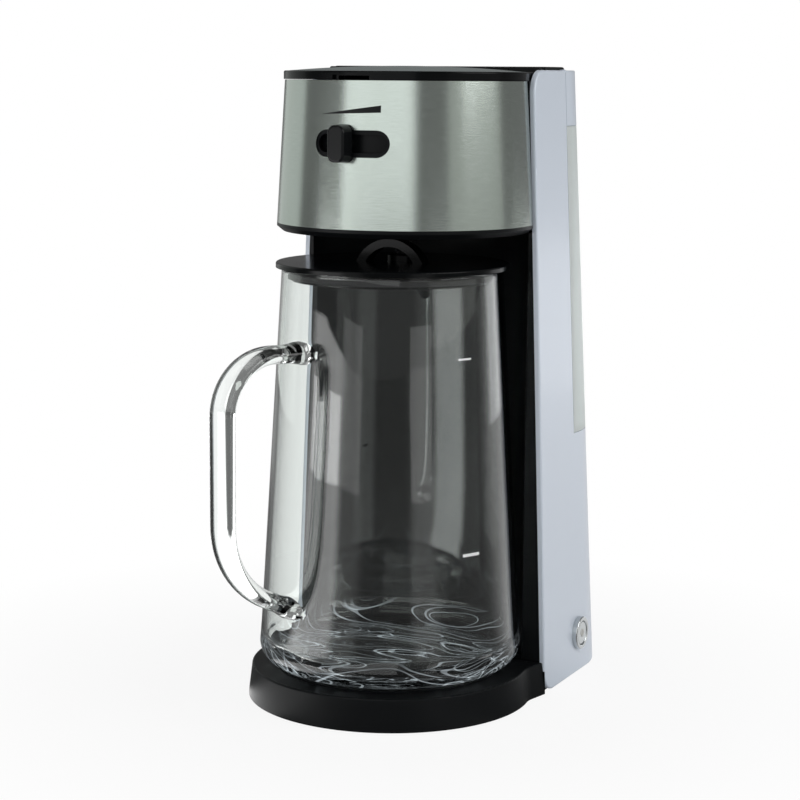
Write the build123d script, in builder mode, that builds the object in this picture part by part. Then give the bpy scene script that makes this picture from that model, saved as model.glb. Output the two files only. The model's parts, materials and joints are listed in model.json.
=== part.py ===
from build123d import *
from math import atan, cos, degrees, pi, radians, sin, sqrt
import os

os.makedirs("parts", exist_ok=True)

# ---------------------------------------------------------------- driving sizes (mm)
# Origin: axis of the brew head where it meets the bench. Front is -Y, up is +Z.

# heights, stacked upward from the bench
ground_gap = 0.4
deck = 19.0                    # the jug's platform
jug_gap = 0.2
jug_height = 215.4
head_clear = 18.9              # from the jug's mouth to the head
trim_height = 4.4
band_height = 75.7
well_step = 9.1                # from the filter well's flange up to the band's top
lid_seam = 0.3
lid_height = 4.5
dome_rise = 2.9
panel_rise = 1.2               # panels and tank cap above the lid's rim
cap_height = 30.4
slot_drop = 32.0               # from the band's top to the middle of the selector's slot
jug_mouth_z = deck + jug_gap + jug_height
head_foot = jug_mouth_z + head_clear
band_foot = head_foot + trim_height
band_top = band_foot + band_height
well_top = band_top - well_step
slot_z = band_top - slot_drop
lid_foot = band_top + lid_seam
lid_rim_top = lid_foot + lid_height
dome_top = lid_rim_top + dome_rise
panel_top = lid_rim_top + panel_rise
cap_top = panel_top
tank_rim = cap_top - cap_height

# outer body: two drafted side panels and a rounded back
lean_height = 340.0            # height over which the drafts below are measured
half_width_floor = 79.6
half_width_top = 67.0
rear_floor = 125.3
rear_top = 110.2
rear_corner = 44.0
wall = 3.0                     # painted panels and rear cover
panel_front = 16.0
panel_corner = 12.5
panel_edge_round = 1.1
rear_cover_half = 39.7
cover_top = 135.6

# water tank behind the slanted edge of the panels
edge_top_y = 60.1              # panel edge at lean_height
edge_foot_y = 65.2             # panel edge at tank_foot
tank_foot = 138.0
tank_front = 67.5
tank_wall = 2.4
tank_gap = 0.5

# jug and its place
jug_y = -16.1
jug_foot_r = 70.7
jug_mouth_r = 59.4
jug_shoulder_z = 38.0
glass = 3.0
base_foot_r = 77.7            # at ground_gap
base_draft = 2.1               # the base draws in by this much up to its top edge
base_r = base_foot_r - base_draft
column_r = 72.6
column_back = 66.0
shell = 2.5

# brew head: a cone wrapped in steel
band_r_foot = 69.7
band_r_top = 65.4
band_t = 0.8
band_end_y = 14.0
seat = 0.05                    # air between nested shells
head_wall = 2.2
well_r = 41.0
well_y = -13.0
floor_t = 3.0
divider_y = 31.0

# brew lid and its hinge
lid_r = 66.0
lid_half = 63.3
lid_rear = 30.2
hinge_y = 33.5
hinge_z = lid_rim_top - 0.2
barrel_r = 2.9
pin_r = 1.5
run_fit = 0.05

# strength selector
slot_height = 13.9
slot_half_angle = 18.4
knob_angle = -2.6
knob_wide = 10.4
knob_tall = 19.8
knob_out = 8.6

# water path
tube_r = 2.6
hose_r = 3.6
riser_x = 22.0
riser_y = 59.8
loop_y = 88.0
loop_end_y = 80.0
loop_z = 56.0

# power button
button_y = 67.0
button_z = 23.0
bezel_r = 9.3
bezel_bore = 6.8


def half_width(z):
    return half_width_floor - (half_width_floor - half_width_top) * z / lean_height


def rear_y(z):
    return rear_floor - (rear_floor - rear_top) * z / lean_height


def band_r(z):
    return band_r_foot + (band_r_top - band_r_foot) * (z - band_foot) / (band_top - band_foot)


def jug_r(z):
    return jug_foot_r + (jug_mouth_r - jug_foot_r) * (z - jug_shoulder_z) / (jug_mouth_z - jug_shoulder_z)


panel_face = half_width(button_z)
switch_room = panel_face - 26.7        # the switch and its tags sit outside this plane


def keep(piece, name):
    piece.part.label = name
    export_step(piece.part, f"parts/{name}.step")


def body_core(inset, low=-1.0, high=cap_top + 5.0, front=-5.0):
    """The outer body, drawn in by inset on its sides and back."""
    with BuildPart() as core:
        for z in (low, high):
            back = rear_y(z) - inset
            with BuildSketch(Plane.XY.offset(z)):
                with Locations((0, (front + back) / 2)):
                    Rectangle(2 * (half_width(z) - inset), back - front)
                fillet(vertices().group_by(Axis.Y)[-1], rear_corner - inset)
        loft()
    return core.part


def slab(y0, y1, z0, z1, x0=-100.0, x1=100.0):
    """A block between the given limits."""
    with BuildPart() as block:
        with BuildSketch(Plane.XY.offset(z0)):
            with Locations(((x0 + x1) / 2, (y0 + y1) / 2)):
                Rectangle(x1 - x0, y1 - y0)
        extrude(amount=z1 - z0)
    return block.part


def behind_edge(gap, z0, z1):
    """Everything behind the panels' slanted edge, gap further back, from z0 to z1."""
    lean = (edge_top_y - edge_foot_y) / (lean_height - tank_foot)
    y0 = edge_foot_y + lean * (z0 - tank_foot) + gap
    y1 = edge_foot_y + lean * (z1 - tank_foot) + gap
    with BuildPart() as region:
        with BuildSketch(Plane.YZ.offset(-100)):
            with BuildLine():
                Polyline((y0, z0), (150, z0), (150, z1), (y1, z1), close=True)
            make_face()
        extrude(amount=200)
    return region.part


def ring(x, y, z0, z1, outer, bore=0.0):
    """An upright cylinder or tube."""
    with BuildPart() as tube:
        with BuildSketch(Plane.XY.offset(z0)):
            with Locations((x, y)):
                Circle(outer)
                if bore:
                    Circle(bore, mode=Mode.SUBTRACT)
        extrude(amount=z1 - z0)
    return tube.part


def rod(plane, length, outer, bore=0.0):
    """A cylinder or tube standing on any plane."""
    with BuildPart() as tube:
        with BuildSketch(plane):
            Circle(outer)
            if bore:
                Circle(bore, mode=Mode.SUBTRACT)
        extrude(amount=length)
    return tube.part


def coil(plane, radius, wire, length, turns):
    """A compression spring standing on a plane."""
    with BuildPart() as spring:
        with BuildLine() as line:
            Helix(pitch=(length - 2 * wire) / turns, height=length - 2 * wire, radius=radius)
        with BuildSketch(Plane(origin=line.line @ 0, z_dir=line.line % 0)):
            Circle(wire)
        sweep()
    return spring.part.moved(plane.location * Location((0, 0, wire)))


core = body_core(0)
inner = body_core(wall)

# ---------------------------------------------------------------- side panels
with BuildPart() as panel_form:
    with BuildSketch(Plane.YZ.offset(-100)):
        with BuildLine():
            Polyline((panel_front, ground_gap), (150, ground_gap), (150, tank_foot),
                     (edge_foot_y, tank_foot), (edge_top_y, lean_height), (edge_top_y, panel_top),
                     (panel_front, panel_top), close=True)
        make_face()
        fillet(vertices().group_by(Axis.X)[0], panel_corner)
    extrude(amount=200)

for side, name in ((-1, "side_panel_left"), (1, "side_panel_right")):
    with BuildPart() as panel:
        add(core)
        add(inner, mode=Mode.SUBTRACT)
        add(panel_form.part, mode=Mode.INTERSECT)
        near = (-100.0, -rear_cover_half - 0.3) if side < 0 else (rear_cover_half + 0.3, 100.0)
        add(slab(0, 150, 0, cap_top + 5, *near), mode=Mode.INTERSECT)
        if side > 0:
            with BuildSketch(Plane.YZ.offset(60)):
                with Locations((button_y, button_z)):
                    Circle(bezel_r - 1 + seat)
            extrude(amount=30, mode=Mode.SUBTRACT)
            with BuildSketch(Plane.YZ.offset(half_width(button_z))):
                with Locations((button_y, button_z)):
                    Circle(bezel_r + seat)
            extrude(amount=5, mode=Mode.SUBTRACT)
        front_faces = panel.faces().filter_by(lambda f: f.center().Y < panel_front + 6)
        outline = [e for e in front_faces.edges()
                   if abs(e.center().X) > half_width(e.center().Z) - 0.4
                   and e.center().Y < panel_front + 8]
        fillet(outline, panel_edge_round)
    keep(panel, name)

# ---------------------------------------------------------------- rear cover
cover_screws = [(x, z) for z in (12.0, 122.0) for x in (-31.0, 31.0)]
gland_x, gland_z, gland_bore, gland_r = -24.0, 30.0, 3.2, 7.0
with BuildPart() as rear_cover:
    add(core)
    add(inner, mode=Mode.SUBTRACT)
    add(slab(60, 150, ground_gap, cover_top, -rear_cover_half, rear_cover_half), mode=Mode.INTERSECT)
    with BuildSketch(Plane.XZ.offset(-150)):
        with GridLocations(0, 8, 1, 5):
            with Locations((0, 85)):
                SlotOverall(44, 3.4)
        with Locations((gland_x, gland_z)):
            Circle(gland_r)
        with Locations(*cover_screws):
            Circle(1.7)
    extrude(amount=60, mode=Mode.SUBTRACT)
keep(rear_cover, "rear_cover")

with BuildPart() as rear_screws:
    for x, z in cover_screws:
        face = rear_y(z) + 0.45
        add(rod(Plane((x, face, z), z_dir=(0, 1, 0)), 1.6, 3.0))
        add(rod(Plane((x, face - 13, z), z_dir=(0, 1, 0)), 13, 1.3))
keep(rear_screws, "rear_screws")

gland_face = rear_y(gland_z)
with BuildPart() as cord_gland:
    for start, length, outer in ((-wall - 2.6, 2.0, gland_r + 1.6), (-wall - 1, wall + 2, gland_r - seat),
                                 (0.6, 1.8, gland_r + 1.6), (2.3, 9.0, 5.2)):
        add(rod(Plane((gland_x, gland_face + start, gland_z), z_dir=(0, 1, 0)), length, outer))
    with BuildSketch(Plane((gland_x, gland_face - 10, gland_z), z_dir=(0, 1, 0))):
        Circle(gland_bore)
    extrude(amount=30, mode=Mode.SUBTRACT)
    with BuildSketch(Plane.YZ.offset(gland_x - 10)):
        for step in (4.6, 7.6):
            with Locations((gland_face + step, gland_z + 4.2), (gland_face + step, gland_z - 4.2)):
                Rectangle(1.2, 2.6)
    extrude(amount=20, mode=Mode.SUBTRACT)
keep(cord_gland, "cord_gland")

# ---------------------------------------------------------------- base
base_step = 1.2                # platform under the jug stands this much higher
platform_r = 63.0
side_boss, front_boss = base_r - 13.6, base_r - 11.7
rear_boss = half_width_floor - 23.6
base_screw_spots = [(-side_boss, jug_y), (side_boss, jug_y), (0, jug_y - front_boss),
                    (-rear_boss, 44), (rear_boss, 44), (0, rear_floor - 15.3)]
foot_x, foot_y = base_r - 27.6, jug_y - (base_r - 35.7)
rear_foot = half_width_floor - 27.6
foot_spots = [(-foot_x, foot_y), (foot_x, foot_y),
              (-rear_foot, rear_floor - 25.3), (rear_foot, rear_floor - 25.3)]
plate_t = 2.5
deck_t = 2.5
base_top = deck - base_step
hollow_top = base_top - deck_t
base_end = panel_front - 0.2
flare_x = sqrt(base_foot_r ** 2 - jug_y ** 2)
joint_y = 12.0                 # where the round hollow meets the body's hollow
joint_half = flare_x - 5.5
foot_pad_r, foot_pad_top = 7.4, ground_gap + 1.4

with BuildPart() as base_form:
    with BuildSketch(Plane.XY.offset(ground_gap)):
        with Locations((0, jug_y)):
            Circle(base_foot_r)
        with BuildLine():
            wide = half_width(0)
            Polyline((-flare_x, 0), (flare_x, 0), (wide, base_end), (wide, base_end + 8),
                     (-wide, base_end + 8), (-wide, base_end), close=True)
        make_face()
        fillet(vertices().filter_by(lambda v: abs(v.Y) < 0.5 and abs(v.X) > 60), 18.0)
    extrude(amount=base_top - ground_gap, taper=degrees(atan(base_draft / (base_top - ground_gap))))
    add(slab(base_end, 150, 0, deck + 1), mode=Mode.SUBTRACT)
    fillet(base_form.edges().group_by(Axis.Z)[-1].filter_by(lambda e: e.center().Y < base_end - 1), 1.0)

with BuildPart() as platform:
    add(ring(0, jug_y, base_top - 0.5, deck, platform_r))
    chamfer(platform.edges().group_by(Axis.Z)[-1], 0.7)
    add(slab(base_end, 150, 0, deck + 1), mode=Mode.SUBTRACT)

with BuildPart() as base_rear:
    add(inner)
    add(slab(base_end, 150, ground_gap, deck), mode=Mode.INTERSECT)

# the base fills the corners that the panels' rounded feet leave open
with BuildPart() as base_corner:
    add(core)
    add(slab(base_end - 0.1, panel_front + panel_corner - 3.5, ground_gap, ground_gap + panel_corner),
        mode=Mode.INTERSECT)
    with BuildSketch(Plane.YZ.offset(-100)):
        with BuildLine():
            Polyline((base_end, ground_gap - 0.2), (60, ground_gap - 0.2), (60, 60), (base_end, 60),
                     close=True)
        make_face()
        fillet(vertices().sort_by(lambda v: v.Y + v.Z)[0], panel_corner + 0.2)
    extrude(amount=200, mode=Mode.SUBTRACT)

with BuildPart() as base_hollow:
    add(ring(0, jug_y, 0, hollow_top, base_r - shell).intersect(slab(-100, joint_y, 0, hollow_top)))
    add(slab(jug_y, joint_y, 0, hollow_top, -joint_half, joint_half))
    add(body_core(wall + shell).intersect(slab(joint_y - 1, 150, 0, hollow_top)))

with BuildPart() as base_shell:
    add(base_form.part)
    add(platform.part)
    add(base_rear.part)
    add(base_corner.part)
    add(base_hollow.part, mode=Mode.SUBTRACT)
    for x, y in base_screw_spots:
        add(ring(x, y, ground_gap + plate_t, hollow_top + 0.5, 4.2))
        add(ring(x, y, ground_gap, 14.0, 1.3), mode=Mode.SUBTRACT)
    for x, z in cover_screws[:2]:
        with BuildSketch(Plane((x, 108, z), z_dir=(0, 1, 0))):
            Circle(1.3)
        extrude(amount=30, mode=Mode.SUBTRACT)
    add(slab(button_y - 10, button_y + 10, ground_gap, deck + 1, switch_room - 2, panel_face + 10),
        mode=Mode.SUBTRACT)
    add(ring(-45, 59, ground_gap, deck + 1, 6.0), mode=Mode.SUBTRACT)
keep(base_shell, "base_shell")

with BuildPart() as base_plate:
    plate_top = ground_gap + plate_t
    add(ring(0, jug_y, ground_gap, plate_top, base_r - shell - 0.2).intersect(slab(-100, joint_y, 0, 10)))
    add(slab(jug_y, joint_y, ground_gap, plate_top, 0.3 - joint_half, joint_half - 0.3))
    add(body_core(wall + shell + 0.3).intersect(slab(joint_y - 0.7, 150, ground_gap, plate_top)))
    for x, y in base_screw_spots:
        add(ring(x, y, 0, 6, 1.7), mode=Mode.SUBTRACT)
        add(ring(x, y, 0, ground_gap + 1.5, 3.4), mode=Mode.SUBTRACT)
    for x, y in foot_spots:
        add(ring(x, y, 0, 6, 3.0 + seat), mode=Mode.SUBTRACT)
        add(ring(x, y, 0, foot_pad_top, foot_pad_r + 0.2), mode=Mode.SUBTRACT)
    with BuildSketch(Plane.XY.offset(ground_gap)):
        with Locations((0, jug_y)):
            with PolarLocations(30, 10):
                SlotOverall(16, 2.4)
    extrude(amount=plate_t, mode=Mode.SUBTRACT)
keep(base_plate, "base_plate")

with BuildPart() as base_screws:
    for x, y in base_screw_spots:
        add(ring(x, y, ground_gap + 0.2, ground_gap + 1.5, 3.0))
        add(ring(x, y, ground_gap + 1.5, 13.0, 1.3))
keep(base_screws, "base_screws")

with BuildPart() as rubber_feet:
    for x, y in foot_spots:
        add(ring(x, y, 0, foot_pad_top, foot_pad_r))
        add(ring(x, y, foot_pad_top, ground_gap + plate_t, 3.0))
        add(ring(x, y, ground_gap + plate_t, ground_gap + plate_t + 1.6, 3.8))
keep(rubber_feet, "rubber_feet")

# ---------------------------------------------------------------- column
with BuildPart() as column_cavity:
    add(body_core(wall + shell))
    add(slab(panel_front + 2.3, column_back - shell, deck - 1, head_foot + 1), mode=Mode.INTERSECT)
    add(ring(0, jug_y, 0, head_foot + 2, column_r + shell), mode=Mode.SUBTRACT)

with BuildPart() as column_housing:
    add(inner)
    add(slab(panel_front - 0.2, column_back, deck, head_foot), mode=Mode.INTERSECT)
    add(ring(0, jug_y, 0, head_foot + 2, column_r), mode=Mode.SUBTRACT)
    add(column_cavity.part, mode=Mode.SUBTRACT)
    add(slab(column_back - 5, column_back + 2, deck + 40, deck + 82, riser_x - 8, riser_x + 8),
        mode=Mode.SUBTRACT)
    add(slab(button_y - 10.5, column_back + 1, deck - 1, button_z + 10.5, switch_room, panel_face + 10),
        mode=Mode.SUBTRACT)
keep(column_housing, "column_housing")

# ---------------------------------------------------------------- brew head


def head_form(inset, z0, z1):
    """The head's outer form under the steel: a cone in front, the body's width behind."""
    r0, r1 = (band_r(z) - band_t - seat - inset for z in (z0, z1))
    with BuildPart() as cone:
        with BuildSketch(Plane.XZ):
            with BuildLine():
                Polyline((0, z0), (r0, z0), (r1, z1), (0, z1), close=True)
            make_face()
        revolve()
        add(slab(-100, panel_front - 0.5 - inset, z0, z1), mode=Mode.INTERSECT)
    with BuildPart() as form:
        add(body_core(wall + inset))
        add(slab(max(10, panel_front - 1 - 2 * inset), column_back - inset, z0, z1), mode=Mode.INTERSECT)
        add(cone.part)
    return form.part


def knob_plane(radius, angle=knob_angle):
    """A plane facing out of the head at slot height."""
    side, front = sin(radians(angle)), cos(radians(angle))
    return Plane((radius * side, -radius * front, slot_z), x_dir=(front, side, 0),
                 z_dir=(side, -front, 0))


floor_top = head_foot + floor_t
deck_under = well_top - 2.5
floor_inset = 3.5
nozzle_hole_r = 9.0
riser_hole_r = hose_r + 0.6

with BuildPart() as head_floor:
    add(head_form(floor_inset, head_foot, floor_top))
    add(ring(0, 0, head_foot - 1, floor_top + 1, nozzle_hole_r), mode=Mode.SUBTRACT)
    add(ring(riser_x, riser_y, head_foot - 1, floor_top + 1, riser_hole_r), mode=Mode.SUBTRACT)
keep(head_floor, "head_floor")

with BuildPart() as head_cavity:
    add(head_form(head_wall, floor_top - 1, deck_under))
    add(ring(0, well_y, head_foot, band_top + 1, well_r + 2.0), mode=Mode.SUBTRACT)

with BuildPart() as head_housing:
    add(head_form(0, floor_top, band_top))
    add(head_cavity.part, mode=Mode.SUBTRACT)
    add(ring(0, well_y, head_foot, band_top + 1, well_r), mode=Mode.SUBTRACT)
    add(head_form(head_wall, well_top, band_top + 1)
        .intersect(slab(-100, divider_y, head_foot, band_top + 2)), mode=Mode.SUBTRACT)
    add(head_form(head_wall, deck_under - 1, band_top + 1)
        .intersect(slab(divider_y + 2, 100, head_foot, band_top + 2)), mode=Mode.SUBTRACT)
    add(slab(divider_y - 1, divider_y + 3, well_top, band_top + 1, riser_x - 6, riser_x + 6),
        mode=Mode.SUBTRACT)
    with BuildSketch(Plane.XZ.offset(40)):
        with Locations((0, slot_z)):
            SlotOverall(39.5, 9.4)
    extrude(amount=40, mode=Mode.SUBTRACT)
keep(head_housing, "head_housing")

with BuildPart() as steel_band:
    with BuildSketch(Plane.XZ):
        with BuildLine():
            Polyline((band_r_foot - band_t, band_foot), (band_r_foot, band_foot),
                     (band_r_top, band_top), (band_r_top - band_t, band_top), close=True)
        make_face()
    revolve()
    add(slab(-100, band_end_y, head_foot - 1, band_top + 1), mode=Mode.INTERSECT)
    with BuildSketch(Plane.XZ.offset(40)):
        with Locations((0, slot_z)):
            SlotOverall(2 * band_r(slot_z) * sin(radians(slot_half_angle)), slot_height)
    extrude(amount=40, mode=Mode.SUBTRACT)
keep(steel_band, "steel_band")

ring_bore = band_r(head_foot) - band_t - floor_inset
lip_bore = band_r_foot - band_t
with BuildPart() as head_trim_ring:
    with BuildSketch(Plane.XZ):
        with BuildLine():
            Polyline((ring_bore, head_foot), (band_r_foot - 3.2, head_foot), (band_r_foot, band_foot - 1.8),
                     (band_r_foot, band_foot), (lip_bore + 0.1, band_foot), (lip_bore + 0.1, floor_top),
                     (ring_bore, floor_top), close=True)
        make_face()
    revolve()
    add(slab(-100, band_end_y, head_foot - 1, band_top + 1), mode=Mode.INTERSECT)
keep(head_trim_ring, "head_trim_ring")

# ---------------------------------------------------------------- strength selector
stem_r = 3.4
carriage_r = 62.6
with BuildPart() as selector_knob:
    with BuildSketch(knob_plane(band_r(slot_z) + 1.1)):
        RectangleRounded(knob_wide, knob_tall, 4.4)
    extrude(amount=knob_out, taper=3)
    fillet(selector_knob.faces().sort_by(Axis.Y)[0].edges(), 1.2)
    with BuildSketch(knob_plane(carriage_r)):
        Circle(stem_r)
    extrude(amount=band_r(slot_z) + 1.2 - carriage_r)
    with BuildSketch(knob_plane(carriage_r + 2)):
        SlotOverall(knob_tall - 11.5, 6.0, rotation=90)
    extrude(amount=band_r(slot_z) + 1.2 - carriage_r - 2)
keep(selector_knob, "selector_knob")

with BuildPart() as selector_carriage:
    with BuildSketch(Plane.XY.offset(slot_z - 11)):
        Circle(carriage_r)
        Circle(carriage_r - 2.2, mode=Mode.SUBTRACT)
    extrude(amount=22)
    with BuildSketch(Plane.XY.offset(slot_z - 12)):
        with BuildLine():
            first, last = (radians(knob_angle + d) for d in (-24, 24))
            Polyline((0, 0), (120 * sin(first), -120 * cos(first)), (120 * sin(last), -120 * cos(last)),
                     close=True)
        make_face()
    extrude(amount=24, mode=Mode.INTERSECT)
keep(selector_carriage, "selector_carriage")

# ---------------------------------------------------------------- brew lid


def lid_outline(inset, rear):
    """The lid's plan: round in front, straight beside the panels and at the hinge."""
    with BuildPart() as front_part:
        add(ring(0, 0, lid_foot - 2, dome_top + 2, lid_r - inset))
        add(slab(-100, panel_front - 0.6 - inset, lid_foot - 2, dome_top + 2), mode=Mode.INTERSECT)
    with BuildPart() as outline:
        add(slab(0, rear - inset, lid_foot - 2, dome_top + 2, -lid_half + inset, lid_half - inset))
        add(front_part.part)
    return outline.part


knuckle_in, knuckle_out = 33.6, 45.4
plate_under = lid_rim_top - 2.4
rim_wall = 2.6

with BuildPart() as brew_lid:
    add(lid_outline(0, lid_rear))
    add(slab(-100, 100, lid_foot, lid_rim_top), mode=Mode.INTERSECT)
    fillet(brew_lid.edges().group_by(Axis.Z)[-1].filter_by(lambda e: e.center().Y < lid_rear - 2), 0.9)
    add(lid_outline(rim_wall, lid_rear + 2).intersect(slab(-100, 100, lid_foot - 1, plate_under)),
        mode=Mode.SUBTRACT)
    for side in (-1, 1):
        x0, x1 = sorted((side * knuckle_in, side * knuckle_out))
        add(slab(lid_rear - 4, hinge_y, hinge_z - 2.4, lid_rim_top, x0, x1))
        add(rod(Plane((x0, hinge_y, hinge_z), z_dir=(1, 0, 0)), x1 - x0, barrel_r))
    with BuildSketch(Plane.YZ.offset(-60)):
        with Locations((hinge_y, hinge_z)):
            Circle(pin_r + run_fit)
    extrude(amount=120, mode=Mode.SUBTRACT)
    add(slab(-100, -lid_r + 3.2, lid_foot - 1, lid_foot + 2.4, -11, 11), mode=Mode.SUBTRACT)
    add(slab(lid_rear - 3, lid_rear + 1, lid_foot - 1, plate_under, riser_x - 5.6, riser_x + 5.6),
        mode=Mode.SUBTRACT)
keep(brew_lid, "brew_lid")

with BuildPart() as brew_lid_dome:
    with BuildSketch(Plane.XZ):
        with BuildLine():
            dome_r = lid_r - 2.2
            Line((0, lid_rim_top), (dome_r, lid_rim_top))
            Line((0, lid_rim_top), (0, dome_top))
            RadiusArc((0, dome_top), (dome_r, lid_rim_top), dome_r ** 2 / (2 * (dome_top - lid_rim_top)))
        make_face()
    revolve()
    add(lid_outline(2.2, lid_rear + 1.4), mode=Mode.INTERSECT)
keep(brew_lid_dome, "brew_lid_dome")

shower_r = 29.0
shower_foot = well_top + 0.6
port_y = 29.5
port_z = plate_under - 4.0
port_bore = 1.9
with BuildPart() as shower_disc:
    add(ring(0, well_y, shower_foot, plate_under, shower_r))
    add(ring(0, well_y, shower_foot + 2.0, plate_under + 1, shower_r - 2), mode=Mode.SUBTRACT)
    for count, radius in ((1, 0), (6, 8), (12, 16), (16, 23)):
        with BuildSketch(Plane.XY.offset(shower_foot - 1)):
            with Locations((0, well_y)):
                with PolarLocations(radius, count):
                    Circle(1.1)
        extrude(amount=4, mode=Mode.SUBTRACT)
    add(rod(Plane((riser_x, well_y, port_z), z_dir=(0, 1, 0)), 40, port_bore), mode=Mode.SUBTRACT)
keep(shower_disc, "shower_disc")

with BuildPart() as lid_duct:
    add(slab(0, port_y, port_z - 3.2, plate_under, riser_x - 4, riser_x + 4))
    add(slab(port_y - 4, port_y, port_z - 3.2, plate_under, riser_x - 5.4, riser_x + 5.4))
    add(ring(0, well_y, shower_foot, plate_under + 1, shower_r), mode=Mode.SUBTRACT)
    add(rod(Plane((riser_x, -10, port_z), z_dir=(0, 1, 0)), 60, port_bore), mode=Mode.SUBTRACT)
keep(lid_duct, "lid_duct")

# ---------------------------------------------------------------- rear top cover and hinge pin
cover_front = 38.4
cover_high = dome_top + 0.1
with BuildPart() as top_cover:
    for z in (band_top, cover_high):
        with BuildSketch(Plane.XY.offset(z)):
            with Locations((0, (cover_front + column_back) / 2)):
                Rectangle(2 * (half_width(z) - wall), column_back - cover_front)
    loft()
    fillet(top_cover.edges().group_by(Axis.Z)[-1], 1.2)
    add(body_core(wall + head_wall)
        .intersect(slab(cover_front + 2.2, column_back - 2.2, band_top - 1, cover_high - 2.2)),
        mode=Mode.SUBTRACT)
    for x0, x1 in ((-knuckle_in + 0.3, knuckle_in - 0.3), (knuckle_out + 0.3, lid_half),
                   (-lid_half, -knuckle_out - 0.3)):
        add(slab(hinge_y, cover_front + 1, hinge_z - 2.2, hinge_z + 2.2, x0, x1))
        add(rod(Plane((x0, hinge_y, hinge_z), z_dir=(1, 0, 0)), x1 - x0, barrel_r))
    add(slab(cover_front - 1, cover_front + 3, band_top - 1, port_z + 3.4, riser_x - 5, riser_x + 5),
        mode=Mode.SUBTRACT)
    pin_half = 56.0
    with BuildSketch(Plane.YZ.offset(-pin_half)):
        with Locations((hinge_y, hinge_z)):
            Circle(pin_r)
    extrude(amount=2 * pin_half, mode=Mode.SUBTRACT)
keep(top_cover, "top_cover")

with BuildPart() as lid_hinge_pin:
    add(rod(Plane((-pin_half, hinge_y, hinge_z), z_dir=(1, 0, 0)), 2 * pin_half, pin_r))
keep(lid_hinge_pin, "lid_hinge_pin")

# ---------------------------------------------------------------- basket, filter, drip stop
basket_floor = head_foot + 6.5
basket_low_r, basket_top_r = 36.0, 39.6
flange_r = 42.0
with BuildPart() as cup_form:
    with BuildSketch(Plane.XZ):
        with BuildLine():
            Polyline((0, basket_floor), (basket_low_r, basket_floor), (basket_top_r, well_top),
                     (flange_r, well_top), (flange_r, well_top + 1.8), (basket_top_r - 1.8, well_top + 1.8),
                     (basket_low_r - 1.8, basket_floor + 2), (0, basket_floor + 2), close=True)
        make_face()
    revolve()

nozzle_foot = head_foot - 5.5
with BuildPart() as brew_basket:
    add(cup_form.part.moved(Location((0, well_y, 0))))
    add(ring(0, 0, nozzle_foot, basket_floor + 0.5, 7.4))
    add(ring(0, 0, nozzle_foot + 2.4, basket_floor + 5, 5.2), mode=Mode.SUBTRACT)
    add(ring(0, 0, nozzle_foot - 1, nozzle_foot + 3, 2.2), mode=Mode.SUBTRACT)
    with BuildSketch(Plane.XY.offset(nozzle_foot - 1)):
        with PolarLocations(3.9, 6):
            Circle(0.9)
    extrude(amount=4, mode=Mode.SUBTRACT)
keep(brew_basket, "brew_basket")

drip_foot = nozzle_foot - 7.4
with BuildPart() as drip_plunger:
    add(ring(0, 0, drip_foot, drip_foot + 1.6, 5.0))
    add(ring(0, 0, drip_foot + 1.6, basket_floor + 2.2, 2.15))
    add(ring(0, 0, basket_floor + 2.2, basket_floor + 3.4, 7.0))
    fillet(drip_plunger.edges().group_by(Axis.Z)[0], 0.6)
keep(drip_plunger, "drip_plunger")

with BuildPart() as drip_spring:
    add(coil(Plane.XY.offset(drip_foot + 1.6), 3.4, 0.35, nozzle_foot - drip_foot - 1.6, 4))
keep(drip_spring, "drip_spring")

filter_floor = basket_floor + 6.4
filter_low_r, filter_top_r = 32.6, 36.6
frame_t = 1.6
with BuildPart() as frame_form:
    with BuildSketch(Plane.XZ):
        with BuildLine():
            Polyline((0, filter_floor), (filter_low_r, filter_floor), (filter_top_r, well_top + 1.8),
                     (flange_r - 1, well_top + 1.8), (flange_r - 1, well_top + 3.2),
                     (filter_top_r - frame_t, well_top + 3.2), (filter_low_r - frame_t, filter_floor + 1.6),
                     (0, filter_floor + 1.6), close=True)
        make_face()
    revolve()
    with BuildSketch(Plane.XY.offset(filter_floor + 6)):
        with PolarLocations(34, 8):
            Rectangle(16, 17)
    extrude(amount=well_top - filter_floor - 12.1, mode=Mode.SUBTRACT)
    with BuildSketch(Plane.XY.offset(filter_floor - 1)):
        with PolarLocations(20, 6):
            Circle(6.5)
    extrude(amount=4, mode=Mode.SUBTRACT)
with BuildPart() as filter_frame:
    add(frame_form.part.moved(Location((0, well_y, 0))))
keep(filter_frame, "filter_frame")

mesh_t = 0.4
with BuildPart() as mesh_form:
    with BuildSketch(Plane.XZ):
        with BuildLine():
            low, high = (r - frame_t - seat for r in (filter_low_r, filter_top_r))
            foot = filter_floor + frame_t + seat
            Polyline((0, foot), (low, foot), (high, well_top + 3.2), (high - mesh_t, well_top + 3.2),
                     (low - mesh_t, foot + mesh_t), (0, foot + mesh_t), close=True)
        make_face()
    revolve()
with BuildPart() as filter_mesh:
    add(mesh_form.part.moved(Location((0, well_y, 0))))
keep(filter_mesh, "filter_mesh")

# ---------------------------------------------------------------- water tank


def tank_form(inset, z0, z1):
    """The tank behind the column, flush with the outer body."""
    with BuildPart() as form:
        add(body_core(inset))
        add(slab(tank_front + inset, 150, z0, z1), mode=Mode.INTERSECT)
    return form.part


def side_rails(z0, z1):
    """Two strips that carry the tank's sides forward to the panels' slanted edge."""
    with BuildPart() as rails:
        add(core)
        add(body_core(wall - 0.4), mode=Mode.SUBTRACT)
        add(behind_edge(tank_gap, z0, z1), mode=Mode.INTERSECT)
        add(slab(0, tank_front, z0, z1), mode=Mode.INTERSECT)
    return rails.part


valve_x, valve_y = -riser_x, loop_end_y
tank_low = tank_foot + 0.3
tank_floor = tank_low + tank_wall
spigot_r, spigot_bore, stem_bore = 6.0, 3.2, 1.75

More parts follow.
